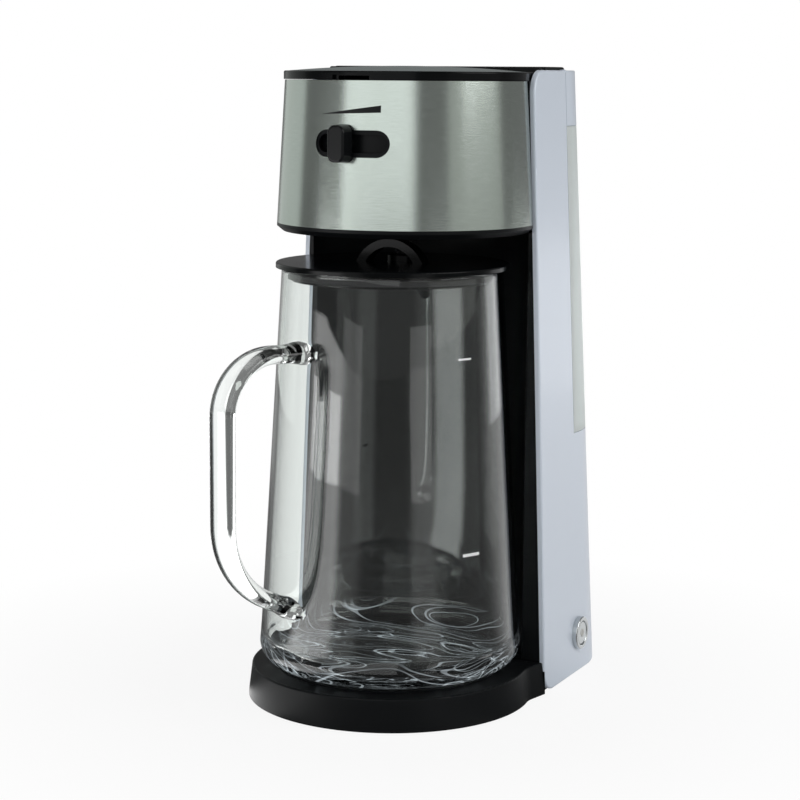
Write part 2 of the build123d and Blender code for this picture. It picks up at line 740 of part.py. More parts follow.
with BuildPart() as water_tank:
    add(tank_form(0, tank_low, tank_rim))
    add(tank_form(tank_wall, tank_floor, tank_rim + 1), mode=Mode.SUBTRACT)
    add(ring(valve_x, valve_y, tank_low - 1, tank_floor + 1, spigot_r), mode=Mode.SUBTRACT)
keep(water_tank, "water_tank")

with BuildPart() as tank_side_rails:
    add(side_rails(tank_low, tank_rim))
keep(tank_side_rails, "tank_side_rails")

with BuildPart() as tank_cap:
    add(tank_form(0, tank_rim + 0.3, cap_top))
    fillet(tank_cap.edges().group_by(Axis.Z)[-1], 1.0)
    add(tank_form(tank_wall, tank_rim + 2.0, cap_top - tank_wall), mode=Mode.SUBTRACT)
    add(tank_form(tank_wall + 0.4, tank_rim - 5, tank_rim + 1))
    add(tank_form(tank_wall + 2.0, tank_rim - 6, tank_rim + 3), mode=Mode.SUBTRACT)
    with BuildSketch(Plane.XY.offset(cap_top - 1.4)):
        with Locations((0, 88)):
            SlotOverall(46, 17)
    extrude(amount=2, mode=Mode.SUBTRACT)
keep(tank_cap, "tank_cap")

with BuildPart() as cap_side_rails:
    add(side_rails(tank_rim + 0.3, cap_top))
    outer_top = [e for e in cap_side_rails.edges().group_by(Axis.Z)[-1]
                 if abs(e.center().X) > half_width(cap_top) - 0.5]
    fillet(outer_top, 1.0)
keep(cap_side_rails, "cap_side_rails")

flange_top = tank_floor + 1.5
guide_top = tank_low - 3.8
with BuildPart() as tank_valve_body:
    add(ring(valve_x, valve_y, tank_low - 5.8, tank_floor, spigot_r))
    add(ring(valve_x, valve_y, tank_floor, flange_top, spigot_r + 2.5))
    add(ring(valve_x, valve_y, guide_top, flange_top + 1, spigot_bore), mode=Mode.SUBTRACT)
    add(ring(valve_x, valve_y, tank_low - 7, guide_top + 1, stem_bore), mode=Mode.SUBTRACT)
    with BuildSketch(Plane.XY.offset(tank_low - 7)):
        with Locations((valve_x, valve_y)):
            with PolarLocations(2.5, 4):
                Circle(0.6)
    extrude(amount=5, mode=Mode.SUBTRACT)
keep(tank_valve_body, "tank_valve_body")

with BuildPart() as tank_poppet:
    add(ring(valve_x, valve_y, tank_low - 5.2, flange_top + 0.4, stem_bore - 0.1))
    add(ring(valve_x, valve_y, flange_top + 0.4, flange_top + 1.8, 5.0))
    chamfer(tank_poppet.edges().group_by(Axis.Z)[-1], 0.5)
keep(tank_poppet, "tank_poppet")

shelf_low = cover_top
cup_r, cup_bore = 9.6, 7.8
with BuildPart() as tank_shelf:
    add(inner)
    add(slab(column_back + 0.05, 150, shelf_low, tank_foot), mode=Mode.INTERSECT)
    add(core.intersect(slab(90, 150, shelf_low, tank_foot, -rear_cover_half, rear_cover_half)))
    for x, z in cover_screws[2:]:
        add(inner.intersect(slab(104, 150, z - 5, shelf_low + 0.5, x - 4.5, x + 4.5)))
        with BuildSketch(Plane((x, 100, z), z_dir=(0, 1, 0))):
            Circle(1.3)
        extrude(amount=40, mode=Mode.SUBTRACT)
    add(ring(valve_x, valve_y, 120, 140, cup_r + seat), mode=Mode.SUBTRACT)
keep(tank_shelf, "tank_shelf")

# ---------------------------------------------------------------- coupling and water line
cup_floor = tank_foot - 8.0
cup_low = tank_foot - 14.5
barb_bore = 1.6
with BuildPart() as tank_coupling:
    add(ring(valve_x, valve_y, cup_low, tank_foot, cup_r))
    add(ring(valve_x, valve_y, shelf_low - 2.0, shelf_low, cup_r + 2.4))
    add(ring(valve_x, valve_y, cup_low - 7.5, cup_low, tube_r))
    add(ring(valve_x, valve_y, cup_floor, tank_foot + 1, cup_bore), mode=Mode.SUBTRACT)
    add(ring(valve_x, valve_y, cup_low + 1.5, cup_floor - 2.0, 4.4), mode=Mode.SUBTRACT)
    add(ring(valve_x, valve_y, cup_low - 8.5, cup_low + 2.5, barb_bore), mode=Mode.SUBTRACT)
    with BuildSketch(Plane.XY.offset(cup_floor - 3)):
        with Locations((valve_x, valve_y)):
            with PolarLocations(3.0, 4):
                Circle(1.1)
    extrude(amount=4, mode=Mode.SUBTRACT)
keep(tank_coupling, "tank_coupling")

with BuildPart() as coupling_pin:
    add(ring(valve_x, valve_y, cup_floor, tank_low - 5.5, 1.2))
keep(coupling_pin, "coupling_pin")

with BuildPart() as coupling_seal:
    add(ring(valve_x, valve_y, tank_foot - 3.6, tank_foot - 1.6, cup_bore, spigot_r + 0.06))
keep(coupling_seal, "coupling_seal")

check_low, check_high = 92.0, 104.0
with BuildPart() as check_valve:
    add(ring(valve_x, valve_y, check_low, check_high, 6.0))
    fillet(check_valve.edges(), 0.8)
    add(ring(valve_x, valve_y, check_low - 7, check_high + 7, tube_r))
    add(ring(valve_x, valve_y, check_low - 8, check_high + 8, barb_bore), mode=Mode.SUBTRACT)
keep(check_valve, "check_valve")

tube_end = 76.0
hose_low = 66.0
with BuildPart() as inlet_hose:
    add(ring(valve_x, valve_y, hose_low, check_low - 0.3, hose_r, tube_r))
    add(ring(valve_x, valve_y, check_high + 0.3, cup_low - 0.2, hose_r, tube_r))
keep(inlet_hose, "inlet_hose")

bend = 6.0
lift = bend * (1 - cos(pi / 4))


def loop_path(z, ends):
    """A U lying level at height z; with ends it turns up at both ends."""
    x, start = riser_x, loop_end_y
    if ends:
        y = start + bend
        Line((-x, start, tube_end), (-x, start, z + bend))
        ThreePointArc((-x, start, z + bend), (-x, start + lift, z + lift), (-x, y, z))
        Line((-x, y, z), (-x, loop_y, z))
    else:
        Line((-x, start - 10, z), (-x, loop_y, z))
    ThreePointArc((-x, loop_y, z), (0, loop_y + x, z), (x, loop_y, z))
    if ends:
        Line((x, loop_y, z), (x, y, z))
        ThreePointArc((x, y, z), (x, start + lift, z + lift), (x, start, z + bend))
        Line((x, start, z + bend), (x, start, tube_end))
    else:
        Line((x, loop_y, z), (x, start - 10, z))


with BuildPart() as tube_solid:
    with BuildLine() as tube_line:
        loop_path(loop_z, True)
    with BuildSketch(Plane((-riser_x, loop_end_y, tube_end), z_dir=(0, 0, -1))):
        Circle(tube_r)
    sweep()

with BuildPart() as tube_hollow:
    with BuildLine():
        loop_path(loop_z, True)
    with BuildSketch(Plane((-riser_x, loop_end_y, tube_end), z_dir=(0, 0, -1))):
        Circle(barb_bore)
    sweep()

with BuildPart() as heater_tube:
    add(tube_solid.part)
    add(tube_hollow.part, mode=Mode.SUBTRACT)
keep(heater_tube, "heater_tube")

element_z = 45.0
element_r = 2.4
with BuildPart() as heater_element:
    with BuildLine():
        loop_path(element_z, False)
    with BuildSketch(Plane((-riser_x, loop_end_y - 10, element_z), z_dir=(0, 1, 0))):
        Circle(element_r)
    sweep()
keep(heater_element, "heater_element")

block_half, block_low, arm_y = 7.0, 34.0, 74.0
with BuildPart() as heater_block:
    with BuildSketch(Plane.XY.offset(block_low)):
        with Locations((0, loop_y)):
            Circle(riser_x + block_half)
        with Locations((0, (arm_y + loop_y) / 2)):
            Rectangle(2 * (riser_x + block_half), loop_y - arm_y)
        with Locations((0, loop_y)):
            Circle(riser_x - block_half, mode=Mode.SUBTRACT)
        with Locations((0, (arm_y + loop_y) / 2)):
            Rectangle(2 * (riser_x - block_half), loop_y - arm_y, mode=Mode.SUBTRACT)
        with Locations((0, arm_y - 10)):
            Rectangle(100, 20, mode=Mode.SUBTRACT)
    extrude(amount=loop_z - block_low)
    add(tube_solid.part, mode=Mode.SUBTRACT)
    add(heater_element.part, mode=Mode.SUBTRACT)
keep(heater_block, "heater_block")

arm_face = riser_x - block_half
with BuildPart() as thermostat:
    add(rod(Plane((-arm_face, 82, element_z), z_dir=(1, 0, 0)), 2.0, 7.5))
    add(rod(Plane((-arm_face + 2, 82, element_z), z_dir=(1, 0, 0)), 4.0, 6.2))
    for dy in (-3, 3):
        add(slab(82 + dy - 1.5, 82 + dy + 1.5, element_z + 2, element_z + 3, -arm_face + 6, -arm_face + 11))
keep(thermostat, "thermostat")

with BuildPart() as thermal_fuse:
    add(slab(75, 89, element_z - 3, element_z + 3, arm_face - 1.2, arm_face))
    add(rod(Plane((arm_face - 3, 74, element_z), z_dir=(0, 1, 0)), 16, 2.0))
    add(slab(75, 89, element_z - 1, element_z + 1, arm_face - 3, arm_face - 1))
keep(thermal_fuse, "thermal_fuse")

with BuildPart() as heater_bracket:
    add(slab(72, 114, deck, deck + 1.6, -34, 34))
    add(slab(80, 104, deck - 1, deck + 3, -9, 9), mode=Mode.SUBTRACT)
    for x0, x1, y in ((-29, -15, 75), (15, 29, 75), (-8, 8, 110)):
        add(slab(y, y + 1.6, deck + 1, block_low, x0, x1))
keep(heater_bracket, "heater_bracket")

riser_top = well_top - 10.5
with BuildPart() as riser_outer:
    with BuildLine():
        FilletPolyline((riser_x, loop_end_y, hose_low), (riser_x, loop_end_y, 92),
                       (riser_x, riser_y, 92), (riser_x, riser_y, riser_top), radius=8)
    with BuildSketch(Plane((riser_x, loop_end_y, hose_low), z_dir=(0, 0, 1))):
        Circle(hose_r)
    sweep()

with BuildPart() as riser_bore:
    with BuildLine():
        FilletPolyline((riser_x, loop_end_y, hose_low), (riser_x, loop_end_y, 92),
                       (riser_x, riser_y, 92), (riser_x, riser_y, riser_top), radius=8)
    with BuildSketch(Plane((riser_x, loop_end_y, hose_low), z_dir=(0, 0, 1))):
        Circle(tube_r)
    sweep()

with BuildPart() as riser_hose:
    add(riser_outer.part)
    add(riser_bore.part, mode=Mode.SUBTRACT)
keep(riser_hose, "riser_hose")

with BuildPart() as spout_outer:
    with BuildLine():
        FilletPolyline((riser_x, riser_y, riser_top - 8), (riser_x, riser_y, port_z),
                       (riser_x, port_y + 1.1, port_z), radius=6)
    with BuildSketch(Plane((riser_x, riser_y, riser_top - 8), z_dir=(0, 0, 1))):
        Circle(tube_r)
    sweep()

with BuildPart() as spout_bore:
    with BuildLine():
        FilletPolyline((riser_x, riser_y, riser_top - 8), (riser_x, riser_y, port_z),
                       (riser_x, port_y + 1.1, port_z), radius=6)
    with BuildSketch(Plane((riser_x, riser_y, riser_top - 8), z_dir=(0, 0, 1))):
        Circle(barb_bore)
    sweep()

with BuildPart() as outlet_elbow:
    add(spout_outer.part)
    add(slab(divider_y, divider_y + 2, well_top, port_z + 2.5, riser_x - 6, riser_x + 6))
    add(spout_bore.part, mode=Mode.SUBTRACT)
keep(outlet_elbow, "outlet_elbow")

# ---------------------------------------------------------------- power button and switch
switch_face = panel_face - 6.15
switch_back = switch_face - 14


def button_plane(x):
    return Plane((x, button_y, button_z), z_dir=(1, 0, 0))


with BuildPart() as button_bezel:
    add(rod(button_plane(switch_face), panel_face - switch_face, bezel_r - 1, bezel_bore))
    add(rod(button_plane(panel_face), 3.0, bezel_r, bezel_bore))
    fillet(button_bezel.edges().group_by(Axis.X)[-1], 0.7)
keep(button_bezel, "button_bezel")

lens_r = 2.4
lens_seat = panel_face + 1.6
with BuildPart() as power_button:
    add(rod(button_plane(switch_face - 1), panel_face + 2.6 - switch_face + 1, bezel_bore - 0.15))
    fillet(power_button.edges().group_by(Axis.X)[-1], 0.8)
    add(rod(button_plane(lens_seat), 3, lens_r), mode=Mode.SUBTRACT)
keep(power_button, "power_button")

with BuildPart() as button_lens:
    add(rod(button_plane(lens_seat), 1.3, lens_r))
    fillet(button_lens.edges().group_by(Axis.X)[-1], 0.5)
keep(button_lens, "button_lens")

with BuildPart() as power_switch:
    add(rod(button_plane(switch_back), switch_face - switch_back, 8.0))
    add(rod(button_plane(switch_back + 6), 20, bezel_bore), mode=Mode.SUBTRACT)
    for dy in (-4, 4):
        add(slab(button_y + dy - 1.5, button_y + dy + 1.5, button_z - 0.5, button_z + 0.5,
                 switch_back - 6, switch_back + 0.5))
keep(power_switch, "power_switch")

with BuildPart() as button_spring:
    add(coil(button_plane(switch_back + 6), 4.6, 0.4, switch_face - switch_back - 7, 3.5))
keep(button_spring, "button_spring")

# ---------------------------------------------------------------- jug
handle_angle = 25.25
handle_reach = 110.3
handle_top_z, handle_low_z = jug_mouth_z - 41.9, 58.0
handle_bend_z, handle_end_z = 77.0, 56.8
jug_foot = deck + jug_gap
turn = radians(handle_angle)
handle_plane = Plane((0, jug_y, 0), x_dir=(-sin(turn), -cos(turn), 0), z_dir=(-cos(turn), sin(turn), 0))

with BuildPart() as jug_outside:
    with BuildSketch(Plane.XZ):
        with BuildLine():
            Polyline((0, jug_foot + 1.2), (48, jug_foot + 1.2), (52, jug_foot), (jug_r(jug_foot), jug_foot),
                     (jug_mouth_r, jug_mouth_z), (0, jug_mouth_z), close=True)
        make_face()
        fillet(vertices().filter_by(lambda v: v.X > 60 and v.Z < 60), 11.0)
    revolve()

with BuildPart() as jug_inside:
    with BuildSketch(Plane.XZ):
        with BuildLine():
            Polyline((0, jug_foot + glass + 2.4), (44, jug_foot + glass + 1.2),
                     (jug_r(jug_foot + glass) - glass, jug_foot + glass + 1.2),
                     (jug_mouth_r - glass, jug_mouth_z), (jug_mouth_r - glass, jug_mouth_z + 2),
                     (0, jug_mouth_z + 2), close=True)
        make_face()
        fillet(vertices().filter_by(lambda v: v.X > 60 and v.Z < 60), 9.0)
    revolve()

jug_place = Location((0, jug_y, 0))
with BuildPart() as jug_glass:
    add(jug_outside.part.moved(jug_place))
    with BuildLine(handle_plane):
        FilletPolyline((jug_mouth_r - 2, handle_top_z), (handle_reach, handle_top_z + 0.5),
                       (handle_reach, handle_bend_z), (jug_foot_r - 4, handle_end_z), radius=(30, 46))
    with BuildSketch(Plane(handle_plane.from_local_coords((jug_mouth_r - 2, handle_top_z, 0)),
                           x_dir=(0, 0, 1), z_dir=handle_plane.x_dir)):
        Ellipse(4.75, 9.5)
    sweep()
    for z in (handle_top_z, handle_low_z):
        with BuildSketch(Plane(handle_plane.from_local_coords((jug_r(z) - 2.5, z, 0)),
                               x_dir=(0, 0, 1), z_dir=handle_plane.x_dir)):
            Ellipse(6.6, 11.6)
        extrude(amount=4.0)
    add(jug_inside.part.moved(jug_place), mode=Mode.SUBTRACT)
keep(jug_glass, "jug_glass")

# ---------------------------------------------------------------- jug lid
jug_lid_top = jug_mouth_z + 3.0
jug_lid_under = jug_mouth_z + 0.2
jug_lid_r = 62.6
skirt_r, skirt_foot = 54.0, jug_mouth_z - 6.6
grip_half, grip_top, grip_wide = 19.8, jug_lid_top + 12.4, 9.0
drip_bar_top = drip_foot - 0.3
with BuildPart() as jug_lid:
    with BuildSketch(Plane.XY.offset(jug_lid_under)):
        with Locations((0, jug_y)):
            Circle(jug_lid_r)
    extrude(amount=jug_lid_top - jug_lid_under)
    fillet(jug_lid.edges().group_by(Axis.Z)[-1], 0.9)
    add(ring(0, jug_y, skirt_foot, jug_lid_under + 0.1, skirt_r, skirt_r - 2.0))
    add(ring(0, 0, jug_lid_top - 0.5, drip_bar_top, 10.4, 9.0))
    add(ring(0, 0, skirt_foot, jug_lid_top + 1, 7.0), mode=Mode.SUBTRACT)
    add(slab(-7.5, 7.5, jug_lid_under, drip_bar_top, -1.2, 1.2))
    add(slab(-1.2, 1.2, jug_lid_under, drip_bar_top, -7.5, 7.5))
    with BuildSketch(Plane.XZ.offset(-jug_y - grip_wide / 2)):
        with BuildLine():
            low = jug_lid_top - 0.5
            ThreePointArc((-grip_half, low), (0, grip_top), (grip_half, low))
            Line((grip_half, low), (grip_half - 5.5, low))
            ThreePointArc((grip_half - 5.5, low), (0, grip_top - 4.2), (-grip_half + 5.5, low))
            Line((-grip_half + 5.5, low), (-grip_half, low))
        make_face()
    extrude(amount=grip_wide)
keep(jug_lid, "jug_lid")

with BuildPart() as jug_lid_seal:
    add(ring(0, jug_y, skirt_foot + 1.4, skirt_foot + 4.2, skirt_r + 2.2, skirt_r))
keep(jug_lid_seal, "jug_lid_seal")
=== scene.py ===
import json
from math import cos, pi, radians, sin

import bpy
from mathutils import Matrix, Vector


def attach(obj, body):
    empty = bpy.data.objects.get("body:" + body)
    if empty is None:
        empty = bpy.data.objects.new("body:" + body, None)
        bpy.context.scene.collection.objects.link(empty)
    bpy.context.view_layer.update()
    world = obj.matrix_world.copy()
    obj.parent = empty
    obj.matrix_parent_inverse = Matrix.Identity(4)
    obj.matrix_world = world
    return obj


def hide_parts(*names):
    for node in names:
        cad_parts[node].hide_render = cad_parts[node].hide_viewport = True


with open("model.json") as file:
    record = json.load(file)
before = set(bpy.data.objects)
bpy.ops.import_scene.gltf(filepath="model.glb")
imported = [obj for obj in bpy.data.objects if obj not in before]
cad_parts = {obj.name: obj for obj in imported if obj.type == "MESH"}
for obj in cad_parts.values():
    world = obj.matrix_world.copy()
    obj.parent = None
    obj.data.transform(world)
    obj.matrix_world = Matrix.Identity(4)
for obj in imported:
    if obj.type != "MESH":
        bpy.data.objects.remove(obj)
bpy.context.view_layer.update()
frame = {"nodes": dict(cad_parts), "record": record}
nodes = frame["nodes"]
mm = 0.001


class Wire:
    # one socket of a node tree, with arithmetic
    def __init__(self, owner, socket):
        self.owner, self.socket = owner, socket

    def calc(self, operation, *others):
        return self.owner.put("ShaderNodeMath", {"operation": operation}, dict(enumerate((self,) + others)))

    def __add__(self, other): return self.calc("ADD", other)
    def __sub__(self, other): return self.calc("SUBTRACT", other)
    def __rsub__(self, other): return self.calc("MULTIPLY_ADD", -1.0, other)
    def __mul__(self, other): return self.calc("MULTIPLY", other)
    def __truediv__(self, other): return self.calc("DIVIDE", other)
    def __gt__(self, other): return self.calc("GREATER_THAN", other)
    def __lt__(self, other): return self.calc("LESS_THAN", other)


class Nodes:
    # a node tree: put() adds a node, joins its inputs and gives back one of its outputs
    def __init__(self, tree):
        self.tree = tree

    def put(self, kind, settings, inputs, output=0):
        node = self.tree.nodes.new(kind)
        for key, value in settings.items():
            setattr(node, key, value)
        for key, value in inputs.items():
            self.join(node.inputs[key], value)
        return Wire(self, node.outputs[output])

    def join(self, socket, value):
        if isinstance(value, Wire):
            self.tree.links.new(value.socket, socket)
        else:
            socket.default_value = value

    def rays(self, *names):
        return [self.put("ShaderNodeLightPath", {}, {}, name) for name in names]

    def span(self, value, fromMin, fromMax, toMin, toMax):
        ends = {"From Min": fromMin, "From Max": fromMax, "To Min": toMin, "To Max": toMax}
        return self.put("ShaderNodeMapRange", {}, {"Value": value, **ends})

    def ramp(self, fac, stops):
        made = self.put("ShaderNodeValToRGB", {}, {"Fac": fac})
        elements = made.socket.node.color_ramp.elements
        while len(elements) < len(stops):
            elements.new(0.5)
        for element, (place, shade) in zip(elements, stops):
            element.position, element.color = place, (shade, shade, shade, 1)
        return made


class Paint(Nodes):
    # one material with its principled shader
    def __init__(self, name, **fixed):
        self.material = bpy.data.materials.new(name)
        self.material.use_nodes = True
        super().__init__(self.material.node_tree)
        self.shader = self.tree.nodes["Principled BSDF"]
        self.set(**fixed)

    def set(self, **values):
        for key, value in values.items():
            if isinstance(value, tuple):
                value = (*value, 1)
            self.join(self.shader.inputs[key.replace("_", " ")], value)

    def spot(self):
        return self.put("ShaderNodeTexCoord", {}, {}, "Object")

    def axes(self, vector, *wanted):
        return [self.put("ShaderNodeSeparateXYZ", {}, {"Vector": vector}, "XYZ".index(axis)) for axis in wanted]

    def place(self, scale=(1, 1, 1)):
        return self.put("ShaderNodeMapping", {}, {"Vector": self.spot(), "Scale": scale})

    def noise(self, where, scale, detail=3.0, rough=0.5):
        return self.put("ShaderNodeTexNoise", {},
                        {"Vector": where, "Scale": scale, "Detail": detail, "Roughness": rough})

    def blend(self, fac, first, second):
        first, second = [(*c, 1) if isinstance(c, tuple) else c for c in (first, second)]
        return self.put("ShaderNodeMix", {"data_type": "RGBA"}, {0: fac, 6: first, 7: second}, 2)

    def bump(self, height, strength, distance):
        shape = {"Height": height, "Strength": strength, "Distance": distance}
        self.set(Normal=self.put("ShaderNodeBump", {}, shape))


def deselect():
    bpy.ops.object.select_all(action="DESELECT")


def piece(name):
    made = bpy.context.object
    made.name = name
    made.data.name = name
    return made


def finish(made, material, body, angle=40):
    # the piece's place goes into its mesh, it gets its finish and rides on its body
    deselect()
    made.select_set(True)
    bpy.context.view_layer.objects.active = made
    bpy.ops.object.transform_apply(location=True, rotation=True, scale=True)
    bpy.ops.object.shade_smooth_by_angle(angle=radians(angle))
    made.data.materials.clear()
    made.data.materials.append(material)
    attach(made, body)
    deselect()
    return made


def apply(made, kind, **settings):
    modifier = made.modifiers.new(kind.title(), kind)
    for key, value in settings.items():
        setattr(modifier, key, value)
    bpy.context.view_layer.objects.active = made
    bpy.ops.object.modifier_apply(modifier=modifier.name)


def pick(made, test):
    # in edit mode: selects the faces whose middle passes the test
    bpy.ops.object.mode_set(mode="OBJECT")
    mesh = made.data
    spots = [v.co for v in mesh.vertices]
    for group in (mesh.vertices, mesh.edges, mesh.polygons):
        for item in group:
            item.select = False
    for face in mesh.polygons:
        face.select = test(sum((spots[i] for i in face.vertices), Vector()) / len(face.vertices))
    bpy.ops.object.mode_set(mode="EDIT")
    bpy.ops.mesh.select_mode(type="FACE")


def lathe(name, rings, centre, segments):
    # a turned form: a circle raised and widened ring by ring; rings are (radius, height) in mm
    (x, y), (r0, z0) = centre, rings[0]
    deselect()
    bpy.ops.mesh.primitive_circle_add(vertices=segments, radius=r0 * mm, fill_type="NGON",
                                      location=(x * mm, y * mm, z0 * mm))
    made = piece(name)
    bpy.ops.object.transform_apply(location=True)
    bpy.ops.object.mode_set(mode="EDIT")
    bpy.ops.mesh.select_mode(type="EDGE")
    bpy.ops.mesh.select_all(action="SELECT")
    for (r, z), (nextR, nextZ) in zip(rings, rings[1:]):
        bpy.ops.mesh.extrude_edges_move(TRANSFORM_OT_translate={"value": (0, 0, (nextZ - z) * mm)})
        grow = nextR / r
        bpy.ops.transform.resize(value=(grow, grow, 1), center_override=(x * mm, y * mm, nextZ * mm))
    bpy.ops.mesh.edge_face_add()
    bpy.ops.mesh.select_all(action="SELECT")
    bpy.ops.mesh.normals_make_consistent(inside=False)
    bpy.ops.object.mode_set(mode="OBJECT")
    return made


# ---- studio
studio = {
    # the eye in mm, its turn in degrees, its focal length in pixels of a picture this wide; the sensor in mm
    "eye": (489.5, -1019.2, 336.4), "azimuth": 25.782, "pitch": 8.850, "roll": 0.44, "focal": 2087.06,
    "width": 800, "sensor": 36,
    # the room's light, and the paper's size and drop in metres
    "world": 0.20, "paper": 12, "paperDrop": 0.0004,
    # close to the machine the white paper is a little darker, and fades to white between these distances
    "floorShade": 0.90, "shadeEnds": (0.13, 0.34),
    # painted reflection: what the bench shows in a mirrored ray, by its azimuth from the front, is a glow in bands
    # standing in for the low lamps' own sheen
    "paintedSheenShare": 0.8, "paintedSheenTop": 5.0,
    "paintedSheen": ((-180, 0.85), (-150, 0.5), (-115, 0.10), (-62, 0.10), (-54, 3.2), (-26, 3.2), (-20, 0.6),
              (-7, 0.5), (2, 0.10), (40, 0.10), (46, 0.6), (60, 0.6), (68, 0.10), (115, 0.15), (140, 0.85),
              (180, 0.85)),
    # name: (azimuth from the front in degrees, distance, middle height, width, height, radiance, tint), metres
    "lamps": {
        "frontBox": (0, 1.50, 0.98, 1.95, 1.40, 1.05, (0.98, 1.0, 1.0)),
        "leftBox": (-104, 1.25, 0.62, 1.10, 1.20, 0.46, (0.94, 1.0, 0.96)),
        "rightBox": (91, 1.30, 0.72, 1.40, 1.10, 0.30, (0.97, 1.0, 0.95)),
        "lowLeftBox": (-39, 1.35, 0.055, 0.72, 0.11, 3.4, (1.0, 1.0, 1.0)),
        "lowFrontBox": (-13, 1.40, 0.10, 0.48, 0.20, 0.6, (1.0, 1.0, 1.0)),
        "lowRightBox": (54, 1.35, 0.10, 0.50, 0.20, 0.7, (1.0, 1.0, 1.0)),
        "backBox": (160, 1.40, 0.09, 1.30, 0.18, 1.0, (0.96, 0.98, 1.0)),
    },
    # name: (place, aim, width, radiance), metres
    "highLamps": {
        "highRight": ((1.60, 0.15, 1.10), (0.07, 0.04, 0.15), 1.2, 2.7),
        "highFront": ((-0.35, -0.55, 1.75), (0, 0, 0.2), 0.7, 0.8),
    },
}


def makeCamera():
    az, pitch = radians(studio["azimuth"]), radians(studio["pitch"])
    look = Vector((-sin(az) * cos(pitch), cos(az) * cos(pitch), -sin(pitch)))
    right = Vector((cos(az), sin(az), 0))
    up = right.cross(look)
    turn = Matrix((right, up, -look)).transposed().to_4x4()
    data = bpy.data.cameras.new("camera")
    data.sensor_width = studio["sensor"]
    data.lens = studio["focal"] / studio["width"] * studio["sensor"]
    data.clip_end = 20
    camera = bpy.data.objects.new("camera", data)
    roll = Matrix.Rotation(radians(studio["roll"]), 4, "Z")
    camera.matrix_world = Matrix.Translation(Vector(studio["eye"]) * mm) @ turn @ roll
    bpy.context.scene.collection.objects.link(camera)
    bpy.context.scene.camera = camera


def softbox(name, place, aim, size, radiance, tint=(1, 1, 1)):
    data = bpy.data.lights.new(name, "AREA")
    data.shape = "RECTANGLE"
    data.size, data.size_y = size
    data.energy = radiance * pi * size[0] * size[1]
    data.color = tint
    lamp = bpy.data.objects.new(name, data)
    lamp.location = place
    lamp.rotation_euler = (Vector(aim) - Vector(place)).to_track_quat("-Z", "Y").to_euler()
    bpy.context.scene.collection.objects.link(lamp)


def makeWorld():
    # the white ground is for the eye, and for what is seen straight through the glass; reflections see the room
    world = bpy.data.worlds.new("studioWorld")
    world.use_nodes = True
    bpy.context.scene.world = world
    sky = Nodes(world.node_tree)
    eyeRay, glassRay, mirrors = sky.rays("Is Camera Ray", "Is Transmission Ray", "Glossy Depth")
    seen = eyeRay.calc("MAXIMUM", glassRay * (mirrors < 0.5))
    back = sky.tree.nodes["Background"]
    sky.join(back.inputs["Color"], (1, 1, 1, 1))
    sky.join(back.inputs["Strength"], sky.span(seen, 0.0, 1.0, studio["world"], 1.0))


def makeLamps():
    for name, (azimuth, far, high, wide, tall, radiance, tint) in studio["lamps"].items():
        spot = (far * sin(radians(azimuth)), -far * cos(radians(azimuth)), high)
        softbox(name, spot, (0, 0, high), (wide, tall), radiance, tint)
    for name, (spot, aim, width, radiance) in studio["highLamps"].items():
        softbox(name, spot, aim, (width, width), radiance)


def makeFloor():
    bpy.ops.mesh.primitive_plane_add(size=studio["paper"], location=(0, 0, -studio["paperDrop"]))
    floor = piece("floor")
    bpy.ops.object.transform_apply(location=True)
    paper = Paint("floorPaper", Base_Color=(0.80, 0.80, 0.80), Roughness=0.9)
    spot = paper.spot()
    eyeRay, glassRay, mirrors = paper.rays("Is Camera Ray", "Is Transmission Ray", "Glossy Depth")
    mirrored = mirrors > 0.5
    # a mirrored ray meets the painted sheen, an emission standing in for the lamps' reflection; every other ray
    # the plain paper
    x, y = paper.axes(spot, "X", "Y")
    turn = x.calc("ARCTAN2", y * -1.0) / (2 * pi) + 0.5
    # painted reflection: the paper itself glows by azimuth in mirrored rays
    paintedSheenLevel = paper.ramp(turn, [((a + 180) / 360, v / studio["paintedSheenTop"]) for a, v in studio["paintedSheen"]])
    paintedSheen = paper.put("ShaderNodeEmission", {}, {"Color": paintedSheenLevel, "Strength": studio["paintedSheenTop"]})
    base = Wire(paper, paper.shader.outputs[0])
    paperWithPaintedSheen = paper.put("ShaderNodeMixShader", {}, {0: mirrored * studio["paintedSheenShare"], 1: base, 2: paintedSheen})
    # the eye meets white
    away = paper.put("ShaderNodeVectorMath", {"operation": "LENGTH"}, {0: spot}, "Value")
    near = paper.span(away, *studio["shadeEnds"], 1.0, 0.0)
    white = (eyeRay + glassRay * (1 - mirrored)) * (1 - near * (1 - studio["floorShade"]))
    glow = paper.put("ShaderNodeEmission", {}, {"Color": (1, 1, 1, 1), "Strength": 1.0})
    both = paper.put("ShaderNodeMixShader", {}, {0: white, 1: paperWithPaintedSheen, 2: glow})
    paper.join(paper.tree.nodes["Material Output"].inputs["Surface"], both)
    floor.data.materials.append(paper.material)


def makeStudio():
    bpy.context.scene.view_settings.view_transform = "Standard"
    makeWorld()
    makeLamps()
    makeFloor()
    print("studio ready")


# ---- finishes
def scaled(colour, factor):
    return tuple(c * factor for c in colour)


def satinBlack(name, grain=900.0, rough=0.36, colour=(0.0040, 0.0046, 0.0052)):
    paint = Paint(name, Specular_IOR_Level=0.12)
    spot = paint.place()
    fine = paint.noise(spot, grain, 2.0)
    wide = paint.noise(spot, 14.0)
    paint.set(Base_Color=paint.blend(wide, colour, scaled(colour, 1.6)),
              Roughness=(wide - 0.5) * 0.10 + rough)
    paint.bump(fine, 0.10, 0.0002)
    return paint.material


def glossBlack(name, rough, colour=(0.004, 0.0045, 0.005), gloss=0.14, coat=0.08):
    paint = Paint(name, Specular_IOR_Level=gloss, Coat_Roughness=0.06)
    wide = paint.noise(paint.place(), 22.0)
    paint.set(Base_Color=paint.blend(wide, colour, scaled(colour, 1.35)),
              Roughness=(wide - 0.5) * 0.08 + rough, Coat_Weight=coat)
    paint.bump(paint.noise(paint.place(), 420.0, 2.0), 0.04, 0.0001)
    return paint.material


